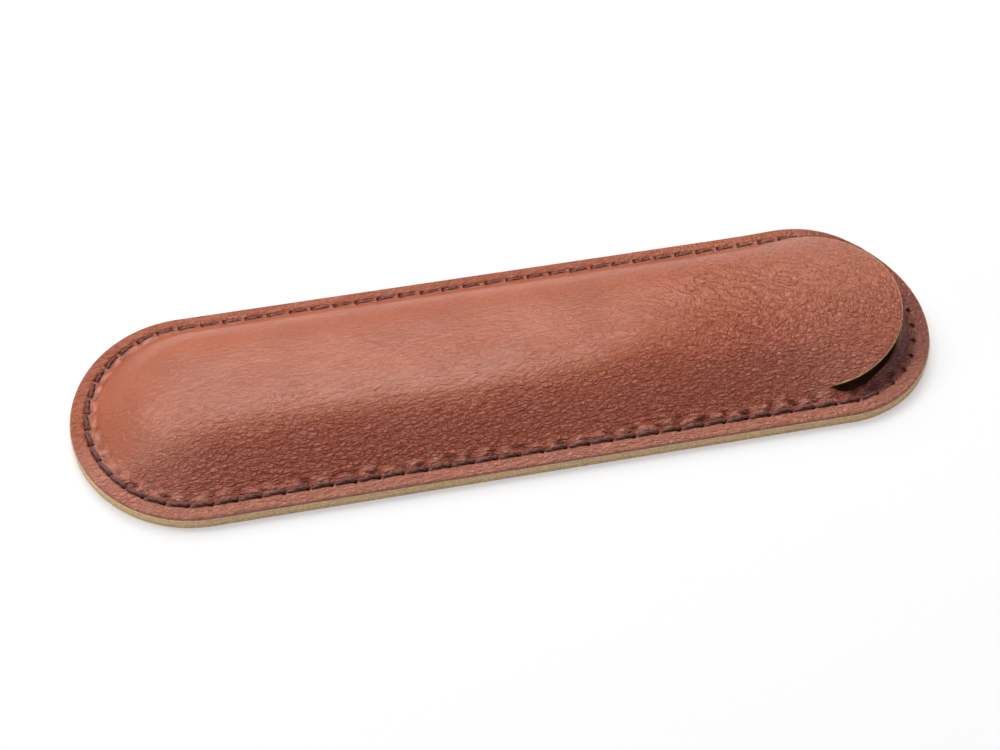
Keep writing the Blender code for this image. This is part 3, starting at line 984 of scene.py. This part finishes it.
def make_domed_leather(materials):
    """The dome with its tongue, and the rim as far as the tongue's root."""
    shell = Shell()
    rim = [(stitch_seams, outer_points(margin)) for margin in RIM_MARGINS[:-1]]
    grained = shell.band(None, CASE_SECTIONS, rim, LEATHER_FACE)
    slit = [(stitch_seams, outer_points(SLIT_MARGIN, edge=EDGE_ROUND))]
    grained += shell.band(grained[-1], ALL_SECTIONS, slit, LEATHER_FACE)
    dome = []
    for place in DOME_INSETS:
        shrink = 1 - place / DOME_HALF
        points = outer_points(SLIT_MARGIN, shrink, edge=EDGE_ROUND * math.exp(-place / EDGE_ROUND))
        dome.append((even_seams(DOME_STEP, shrink), points))
    shell.cover(grained[-1], dome, LEATHER_FACE)

    walls = shell.band(grained[0], CASE_SECTIONS, wall_rings(0, swell=EDGE_SWELL), FLESH_FACE, flip=True)
    flesh = shell.band(walls[-1], CASE_SECTIONS, flesh_rings(FLESH_MARGINS), FLESH_FACE, flip=True)
    flesh += shell.band(flesh[-1], ALL_SECTIONS, flesh_rings([SLIT_MARGIN]), FLESH_FACE, flip=True)
    edge = wall_rings(SLIT_MARGIN, under=1.0)
    tongue_walls = shell.band(grained[-1], MOUTH_SECTIONS, edge, FLESH_FACE, flip=True)
    shell.zip(tongue_walls[-1], flesh[-1], FLESH_FACE, flip=True)
    for section, end, root, root_end in (("near", -1, "near_root", 0), ("far", 0, "far_root", -1)):
        loop = [ring[section][0][end] for ring in grained]
        loop += [wall[root][0][root_end] for wall in tongue_walls]
        loop += [ring[section][0][end] for ring in flesh[::-1] + walls[::-1]]
        shell.face(loop, FLESH_FACE, flip=section == "near")
    inside = []
    for place in np.arange(FLESH_STEP, DOME_HALF - FLESH_STEP / 2, FLESH_STEP):
        shrink = 1 - place / DOME_HALF
        inside.append((even_seams(FLESH_STEP, shrink), flesh_points(SLIT_MARGIN, shrink)))
    shell.cover(flesh[-1], inside, FLESH_FACE, flip=True)
    return shell.finish("domed_leather", materials)


def make_lip_leather(materials):
    """The rim and lip round the mouth, outside the slit."""
    shell = Shell()
    rim = [(stitch_seams, outer_points(margin, lip=True)) for margin in RIM_MARGINS]
    grained = shell.band(None, MOUTH_SECTIONS, rim, LEATHER_FACE)
    edge = wall_rings(0, lip=True, swell=EDGE_SWELL)
    walls = shell.band(grained[0], MOUTH_SECTIONS, edge, FLESH_FACE, flip=True)
    inside = flesh_rings((*FLESH_MARGINS, SLIT_MARGIN), lip=True)
    flesh = shell.band(walls[-1], MOUTH_SECTIONS, inside, FLESH_FACE, flip=True)
    edge = wall_rings(SLIT_MARGIN, lip=True, side=-1)
    inner_walls = shell.band(grained[-1], MOUTH_SECTIONS, edge, FLESH_FACE)
    shell.zip(inner_walls[-1], flesh[-1], FLESH_FACE)
    for section, end in (("near_root", 0), ("far_root", -1)):
        rings = grained + inner_walls + flesh[::-1] + walls[::-1]
        shell.face([ring[section][0][end] for ring in rings], FLESH_FACE, flip=section == "far_root")
    return shell.finish("lip_leather", materials)


# Back leather


def back_points(margin, height, shrink=1.0, grained=True):
    """A ring of the back leather. Its underside has the furrow of the bobbin thread."""

    def points_of(section, seams):
        columns = section_columns(section, seams)
        x, y = plan_place(columns, margin, shrink)
        rise = np.full(len(x), float(height))
        on_rim = float(shrink == 1)
        if grained:
            inward = margin - STITCH_MARGIN
            along, across = BACK_HOLE_REACHES
            furrow = BACK_FURROW * bell(inward, BACK_FURROW_REACH)
            hole = BACK_HOLE * bell(past_hole(seams), along) * bell(inward, across)
            swell = np.clip(0.5 + field_noise(x, y, BACK_SWELLS), 0, 1)
            rise = rise + (furrow + hole) * on_rim + BACK_SWELL_HEIGHT * swell
        if margin == 0:
            fibre = field_noise(seams, np.full(len(x), float(height)), BACK_FIBRES)
            push = outward_of(columns, margin, BACK_THICKNESS) * fibre[:, None]
            x, y = x + push[:, 0], y + push[:, 1]
        masks = {
            "coarse": np.full(len(x), BACK_COARSE),
            # Painted shade beside the stitches
            "stitched": np.full(len(x), bell(margin - STITCH_MARGIN, BACK_STITCHED_REACH) * on_rim),
            # Lighter towards the top of the back leather's edge, partly its own paler cut and partly painted
            # highlight
            "cut": np.full(len(x), height / BACK_THICKNESS),
        }
        if not grained and margin > STITCH_MARGIN:
            # Painted shade on the back leather's flesh side
            masks["under"] = shaded_share(np.stack([x, y], axis=1))
            masks["cut"] = np.zeros(len(x))
        return np.stack([x, y, rise], axis=1), masks

    return points_of


def make_back_leather(materials):
    shell = Shell()
    seams = even_seams(DOME_STEP)
    top = shell.ring(ALL_SECTIONS, seams, back_points(BACK_TOP_INSET, BACK_THICKNESS, grained=False))
    edge = [(seams, back_points(0, height, grained=False)) for height in BACK_WALL_HEIGHTS]
    edge.append((seams, back_points(*BACK_EDGE)))
    lowest = shell.band(top, ALL_SECTIONS, edge, FLESH_FACE, flip=True)[-1]
    under = [(seams, back_points(margin, 0)) for margin in BACK_MARGINS]
    for share in BACK_SHRINKS:
        under.append((even_seams(3 * DOME_STEP, share), back_points(BACK_MARGINS[-1], 0, share)))
    shell.cover(lowest, under, LEATHER_FACE, flip=True)
    inside = []
    for share in BACK_TOP_SHRINKS:
        points = back_points(SLIT_MARGIN, BACK_THICKNESS, share, grained=False)
        inside.append((even_seams(4 * DOME_STEP, share), points))
    shell.cover(top, inside, FLESH_FACE)
    return shell.finish("back_leather", materials)


# Sewing threads


def thread_path(run_height, arch, lock_height, inner_first, per_span):
    """A thread's centreline, from hole to hole round the case."""
    side = -1 if inner_first else 1
    leg = LEG_OFFSET
    slant = THREAD_SLANT
    generator = np.random.default_rng(THREAD_SEED)
    control = []
    for stitch in range(STITCH_COUNT):
        start = (stitch + 0.5) * PITCH
        shift, lift = generator.normal(0, 1, 2) * THREAD_WANDER
        low = run_height + (lock_height - run_height) * 0.22
        spots = (
            (leg * 0.5, leg, lock_height),
            (leg * 0.7, leg * 0.7, low),
            (leg + THREAD_ENTRY, slant, run_height - arch * 0.2),
            (PITCH * 0.34, slant * 0.5 + shift, run_height + arch * 0.8 + lift),
            (PITCH * 0.62, -slant * 0.5 + shift, run_height + arch + lift),
            (PITCH - leg - THREAD_EXIT, -slant, run_height + arch * 0.2),
            (PITCH - leg * 0.7, -leg * 0.7, low),
            (PITCH - leg * 0.5, -leg, lock_height),
        )
        for along, outward, height in spots:
            control.append((start + along, STITCH_MARGIN - side * outward, height))
    control = np.array(control)
    columns = seam_columns(control[:, 0])
    x, y = plan_place(columns, control[:, 1])
    far_sink = THREAD_SINK * smooth_step(y / (CASE_WIDTH / 2))
    mouth_sink = MOUTH_SINK * smooth_step((x - HALF_STRAIGHT) / END_REACH * 2)
    run_share = np.clip((control[:, 2] - lock_height) / (run_height - lock_height), 0, 1) * (not inner_first)
    points = np.stack([x, y, control[:, 2] - run_share * np.maximum(far_sink, mouth_sink)], axis=1)
    before = np.roll(points, 1, axis=0)
    after = np.roll(points, -1, axis=0)
    beyond = np.roll(points, -2, axis=0)
    pieces = []
    for step in range(per_span):
        t = step / per_span
        square = (2 * before - 5 * points + 4 * after - beyond) * t**2
        cube = (3 * points - 3 * after + beyond - before) * t**3
        pieces.append((2 * points + (after - before) * t + square + cube) / 2)
    return np.stack(pieces, axis=1).reshape(-1, 3)


def strand_radius(angle, radius):
    """The outline of three strands laid together, at an angle round the thread."""
    third = 2 * math.pi / 3
    turned = np.mod(angle + third / 2, third) - third / 2
    offset = STRAND_SHARE * radius
    inside = np.maximum(offset**2 - (offset * np.sin(turned)) ** 2, (STRAND_LEAST * radius) ** 2)
    return offset * np.cos(turned) + np.sqrt(inside)


def make_thread(name, path, sides, material):
    """A closed tube round the path, whose three strands turn as it goes."""
    count = len(path)
    ahead = np.roll(path, -1, axis=0) - path
    tangent = unit(ahead + np.roll(ahead, 1, axis=0))
    outward = path * (1, 1, 0)
    outward[:, 0] -= np.clip(path[:, 0], -HALF_STRAIGHT, HALF_STRAIGHT)
    across = unit(outward - tangent * (outward * tangent).sum(1)[:, None])
    upward = np.cross(tangent, across)
    length = np.concatenate([[0], np.cumsum(np.linalg.norm(ahead, axis=1))])
    turns = round(length[-1] / THREAD_LAY)
    twist = length[:-1] / length[-1] * turns * 2 * math.pi
    angle = np.arange(sides) / sides * 2 * math.pi
    radius = strand_radius(angle[None, :] - twist[:, None], THREAD_SPREAD * THREAD_DIAMETER / 2)
    offset = across[:, None, :] * np.cos(angle)[None, :, None]
    offset = offset + upward[:, None, :] * np.sin(angle)[None, :, None]
    places = path[:, None, :] + offset * radius[:, :, None]
    rows = np.arange(count)[:, None] * sides
    next_rows = np.roll(rows, -1, axis=0)
    spots = np.arange(sides)[None, :]
    next_spots = np.roll(spots, -1, axis=1)
    faces = np.stack([rows + spots, rows + next_spots, next_rows + next_spots, next_rows + spots], axis=-1)
    mesh = bpy.data.meshes.new(name)
    mesh.from_pydata(places.reshape(-1, 3).tolist(), [], faces.reshape(-1, 4).tolist())
    mesh.materials.append(material)
    # How deep a place lies between the strands, for the painted shade there
    hollow = 1 - radius / radius.max()
    return piece_from_mesh(mesh, places.reshape(-1, 3), [(count * sides, {"hollow": hollow.ravel()})])


# Materials


def new_graph(name):
    """A material with its graph and its main shader."""
    material = bpy.data.materials.new(name)
    material.use_nodes = True
    return material, Graph(material.node_tree), material.node_tree.nodes["Principled BSDF"]


class Graph:
    """Short ways to add and join nodes of one material."""

    def __init__(self, tree):
        self.tree = tree

    def put(self, socket, value):
        if isinstance(value, bpy.types.NodeSocket):
            self.tree.links.new(value, socket)
        else:
            socket.default_value = value

    def node(self, kind, settings=None, **inputs):
        made = self.tree.nodes.new(kind)
        for key, value in (settings or {}).items():
            setattr(made, key, value)
        for key, value in inputs.items():
            self.put(made.inputs[key], value)
        return made

    def ordered(self, kind, settings, *values):
        """The first output of a node whose inputs are set in their order."""
        made = self.node(kind, settings)
        for socket, value in zip(made.inputs, values):
            self.put(socket, value)
        return made.outputs[0]

    def math(self, operation, *values):
        return self.ordered("ShaderNodeMath", {"operation": operation}, *values)

    def times(self, first, second):
        return self.math("MULTIPLY", first, second)

    def plus(self, first, second):
        return self.math("ADD", first, second)

    def mask(self, name, output="Fac"):
        return self.node("ShaderNodeAttribute", {"attribute_name": name}).outputs[output]

    def scaled(self, vector, scale):
        return self.ordered("ShaderNodeVectorMath", {"operation": "MULTIPLY"}, vector, scale)

    def wound(self, vector, amount, scale):
        """The vector, moved by this amount of a colour noise."""
        settings = {"operation": "MULTIPLY_ADD"}
        offset = self.noise(vector, scale, output="Color")
        return self.ordered("ShaderNodeVectorMath", settings, offset, (amount,) * 3, vector)

    def turned(self, vector, angle):
        """The vector, turned about the vertical."""
        made = self.node("ShaderNodeVectorRotate", {"rotation_type": "Z_AXIS"}, Vector=vector, Angle=angle)
        return made.outputs[0]

    def noise(self, vector, scale, detail=2.0, roughness=0.5, output="Fac"):
        made = self.node("ShaderNodeTexNoise", Vector=vector, Scale=scale, Detail=detail, Roughness=roughness)
        return made.outputs[output]

    def cells(self, vector, feature="F1"):
        """Distance in cells one unit wide: from their middles, or to their edges."""
        made = self.node("ShaderNodeTexVoronoi", {"feature": feature}, Vector=vector, Scale=1.0)
        return made.outputs["Distance"]

    def ramp(self, value, low, high, to_low=0.0, to_high=1.0):
        settings = {"interpolation_type": "SMOOTHSTEP"}
        return self.ordered("ShaderNodeMapRange", settings, value, low, high, to_low, to_high)

    def blend(self, share, first, second):
        made = self.node("ShaderNodeMix", {"data_type": "FLOAT"}, Factor=share)
        self.put(made.inputs[2], first)
        self.put(made.inputs[3], second)
        return made.outputs[0]

    def mix_colour(self, share, first, second):
        made = self.node("ShaderNodeMix", {"data_type": "RGBA"}, Factor=share)
        for socket, value in ((made.inputs[6], first), (made.inputs[7], second)):
            self.put(socket, value if isinstance(value, bpy.types.NodeSocket) else (*value, 1))
        return made.outputs[2]

    def layered(self, colour, layers):
        """The colour under layers that follow a mask between two of its values."""
        for mask, low, high, share, shade in layers:
            colour = self.mix_colour(self.ramp(self.mask(mask), low, high, 0.0, share), colour, shade)
        return colour

    def bump(self, shader, height, distance, strength=1.0):
        made = self.node("ShaderNodeBump", Height=height, Distance=distance, Strength=strength)
        self.put(shader.inputs["Normal"], made.outputs["Normal"])

    def seen_or_lit(self, lit, seen):
        """One shader for what the camera sees, and another for all other light."""
        path = self.node("ShaderNodeLightPath").outputs["Is Camera Ray"]
        return self.ordered("ShaderNodeMixShader", None, path, lit, seen)


def grain(g, place, coarse):
    """Heights and valleys of the leather's pebbles, in rows on the case and columns on the tongue."""
    steep = g.mask("steep")
    bent = g.wound(place, *GRAIN_WINDING)
    rows = g.turned(bent, ROW_TURN)
    columns = g.turned(bent, COLUMN_TURN)
    row_cells = g.scaled(rows, ROW_CELLS)
    column_cells = g.scaled(columns, COLUMN_CELLS)
    edge = g.blend(steep, g.cells(row_cells, "DISTANCE_TO_EDGE"), g.cells(column_cells, "DISTANCE_TO_EDGE"))
    valley = g.ramp(edge, 0.0, VALLEY_WIDTH)
    pebble = g.ramp(g.blend(steep, g.cells(row_cells), g.cells(column_cells)), 0.1, 0.85, 1.0, 0.0)
    row_wave = g.noise(g.scaled(rows, ROW_WAVE), 1.0, 3, 0.6)
    wave = g.blend(steep, row_wave, g.noise(g.scaled(columns, COLUMN_WAVE), 1.0, 3, 0.6))
    deep = g.times(coarse, g.ramp(row_wave, 0.3, 0.65, 0.6, 1.15))
    relief = g.plus(g.times(valley, VALLEY_RELIEF), g.times(pebble, PEBBLE_RELIEF))
    relief = g.times(relief, g.ramp(deep, 0.2, 1.0, 0.15, 1.0))
    relief = g.plus(relief, g.times(g.times(wave, coarse), WAVE_RELIEF))
    relief = g.plus(relief, g.times(g.noise(place, 5.0, 2, 0.6), GRIT_RELIEF))
    return relief, valley, deep


def crossing_lines(g, place):
    """Long creases that cross on the tongue."""
    winding = g.turned(g.wound(place, *CROSSING_WINDING), CROSSING_TURN)
    level = g.math("SUBTRACT", g.noise(g.scaled(winding, CROSSING_CELLS), 1.0, 1), 0.5)
    return g.times(g.ramp(g.math("ABSOLUTE", level), 0.0, CROSSING_WIDTH, 1.0, 0.0), g.mask("creased"))


def leather_material():
    """Tan grained leather with a soft sheen: pebbles and creases, grain valleys darkened partly by dye and
    partly as painted shade, and painted sheen, shade and highlight from the masks.
    """
    material, g, shader = new_graph("tan_leather")
    place = g.mask("rest_mm", "Vector")
    coarse = g.mask("coarse")
    relief, valley, deep = grain(g, place, coarse)
    crossing = crossing_lines(g, place)
    g.bump(shader, g.math("SUBTRACT", relief, g.times(crossing, CROSSING_RELIEF)), GRAIN_DEPTH)

    colour = g.mix_colour(g.ramp(g.noise(place, 0.09, 3), 0.35, 0.65), LEATHER_DEEP, LEATHER_LIGHT)
    colour = g.mix_colour(g.ramp(g.noise(place, 1.7, 3, 0.6), 0.3, 0.75, 0.0, 0.25), colour, LEATHER_WARM)
    # Painted shade: a darker, redder colour on the near flank, which faces away from the main lamps
    colour = g.mix_colour(g.ramp(coarse, 0.6, 1.0, 0.0, 0.65), colour, NEAR_FLANK_SHADE)
    # Darker grain valleys, partly dye and partly painted shade, and painted shade in the crossing creases
    groove = g.times(g.math("SUBTRACT", 1.0, valley), g.ramp(deep, 0.3, 1.0, 0.03, 0.45))
    groove = g.math("MAXIMUM", groove, g.times(crossing, CROSSING_SHADE))
    colour = g.mix_colour(groove, colour, LEATHER_GROOVE)
    # Painted sheen from its mask
    colour = g.mix_colour(g.mask("pale"), colour, SHEEN_PAINT)
    # Painted shade and painted highlight from their masks
    for mask, share, shade in SHADE_AND_HIGHLIGHT_LAYERS:
        colour = g.mix_colour(g.times(g.mask(mask), share), colour, shade)
    g.put(shader.inputs["Base Color"], g.layered(colour, EDGE_LAYERS))
    g.put(shader.inputs["Roughness"], g.ramp(coarse, 0.4, 1.0, *LEATHER_ROUGHNESS))
    g.put(shader.inputs["Specular IOR Level"], g.ramp(groove, 0.0, 0.3, *LEATHER_SPECULAR))
    return material


def flesh_material():
    """The cut edge and flesh side: khaki fibres."""
    material, g, shader = new_graph("khaki_flesh")
    place = g.mask("rest_mm", "Vector")
    fibre = g.noise(g.scaled(place, (1, 1, 2.6)), 2.6, 4, 0.65)
    speck = g.noise(place, 9.0, 2, 0.6)
    colour = g.mix_colour(g.ramp(fibre, 0.35, 0.68), FLESH_DARK, FLESH_LIGHT)
    colour = g.mix_colour(g.ramp(speck, 0.55, 0.75, 0.0, 0.5), colour, FLESH_OLIVE)
    g.put(shader.inputs["Base Color"], g.layered(colour, FLESH_LAYERS))
    g.bump(shader, g.plus(fibre, g.times(speck, 0.6)), FLESH_GRAIN_DEPTH, 0.7)
    shader.inputs["Roughness"].default_value = 0.85
    shader.inputs["Specular IOR Level"].default_value = 0.25
    return material


def thread_material():
    material, g, shader = new_graph("brown_thread")
    fuzz = g.noise(g.mask("rest_mm", "Vector"), 7.0, 3, 0.6)
    colour = g.mix_colour(g.ramp(fuzz, 0.3, 0.7), THREAD_DARK, THREAD_LIGHT)
    # Painted shade in the valleys between the strands
    colour = g.mix_colour(g.ramp(g.mask("hollow"), 0.1, 0.6, 0.0, 0.8), colour, THREAD_DARK)
    g.put(shader.inputs["Base Color"], colour)
    g.bump(shader, fuzz, THREAD_GRAIN_DEPTH, 0.5)
    shader.inputs["Roughness"].default_value = 0.5
    shader.inputs["Specular IOR Level"].default_value = 0.4
    return material


def floor_material():
    """Pale, and white to the camera, with the shadow that the case throws."""
    material, g, shader = new_graph("pale_floor")
    shader.inputs["Base Color"].default_value = (0.8, 0.8, 0.8, 1)
    shader.inputs["Roughness"].default_value = 0.9
    shader.inputs["Specular IOR Level"].default_value = 0.0
    glow = g.node("ShaderNodeEmission", None, Color=WHITE, Strength=FLOOR_GLOW).outputs[0]
    shade = g.node("ShaderNodeBsdfDiffuse", None, Color=FLOOR_SHADE).outputs[0]
    both = g.ordered("ShaderNodeAddShader", None, glow, shade)
    surface = material.node_tree.nodes["Material Output"].inputs["Surface"]
    g.put(surface, g.seen_or_lit(shader.outputs[0], both))
    return material


# Studio


def make_floor():
    mesh = bpy.data.meshes.new("studio_floor")
    signs = ((-1, -1), (1, -1), (1, 1), (-1, 1))
    corners = [(along * FLOOR_HALF, across * FLOOR_HALF, 0) for along, across in signs]
    mesh.from_pydata(corners, [], [(0, 1, 2, 3)])
    mesh.materials.append(floor_material())
    floor = bpy.data.objects.new("studio_floor", mesh)
    floor.location.z = -FLOOR_DROP
    bpy.context.scene.collection.objects.link(floor)


def make_world():
    """A faint light from all round, and white to the camera."""
    world = bpy.data.worlds.new("studio_world")
    bpy.context.scene.world = world
    world.use_nodes = True
    g = Graph(world.node_tree)
    plain = world.node_tree.nodes["Background"]
    plain.inputs["Color"].default_value = WHITE
    plain.inputs["Strength"].default_value = WORLD_STRENGTH
    white = g.node("ShaderNodeBackground", None, Color=WHITE, Strength=1.0)
    surface = world.node_tree.nodes["World Output"].inputs["Surface"]
    g.put(surface, g.seen_or_lit(plain.outputs[0], white.outputs[0]))


def place_facing(data, azimuth, elevation, distance, target=(0, 0, 0)):
    """Puts a lamp or camera at this distance from the target, looking at it."""
    turn = math.radians(azimuth)
    tilt = math.radians(elevation)
    back = Vector((math.sin(turn) * math.cos(tilt), -math.cos(turn) * math.cos(tilt), math.sin(tilt)))
    placed = bpy.data.objects.new(data.name, data)
    placed.location = Vector(target) + back * distance
    placed.rotation_mode = "QUATERNION"
    placed.rotation_quaternion = (-back).to_track_quat("-Z", "Y")
    bpy.context.scene.collection.objects.link(placed)
    return placed


def make_lamp(name, azimuth, elevation, width, depth, power, in_gloss):
    lamp = bpy.data.lights.new(name, "AREA")
    lamp.shape = "RECTANGLE"
    lamp.size = width
    lamp.size_y = depth
    lamp.energy = power
    place_facing(lamp, azimuth, elevation, LAMP_DISTANCE).visible_glossy = in_gloss


def make_camera():
    data = bpy.data.cameras.new("photo_camera")
    data.sensor_width = SENSOR_WIDTH
    data.lens = CAMERA_FOCUS_PIXELS * SENSOR_WIDTH / PHOTO_WIDTH
    data.clip_start = 0.01
    data.clip_end = 20
    camera = place_facing(data, CAMERA_AZIMUTH, CAMERA_ELEVATION, CAMERA_DISTANCE, CAMERA_TARGET)
    bpy.context.scene.camera = camera


leather = leather_material()
flesh = flesh_material()
brown_thread = thread_material()

domed_leather = make_domed_leather([leather, flesh])
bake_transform(domed_leather)
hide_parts("front_panel", "flap_tongue")

lip_leather = make_lip_leather([leather, flesh])
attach(lip_leather, "case")

back_leather = make_back_leather([leather, flesh])
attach(back_leather, "case")
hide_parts("back_panel")

needle_run = RIM_HEIGHT - SEAT_PRESS + NEEDLE_SEAT
needle_path = thread_path(needle_run, NEEDLE_ARCH, BACK_THICKNESS, False, 4)
needle_thread = make_thread("needle_thread_twist", needle_path, NEEDLE_SIDES, brown_thread)
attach(needle_thread, "case")
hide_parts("needle_thread")

bobbin_path = thread_path(BOBBIN_SEAT, BOBBIN_ARCH, BACK_THICKNESS, True, 2)
bobbin_thread = make_thread("bobbin_thread_twist", bobbin_path, BOBBIN_SIDES, brown_thread)
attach(bobbin_thread, "case")
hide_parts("bobbin_thread")

make_floor()
make_world()
for soft_box in SOFT_BOXES:
    make_lamp(*soft_box)
make_camera()
bpy.context.scene.view_settings.view_transform = "Standard"
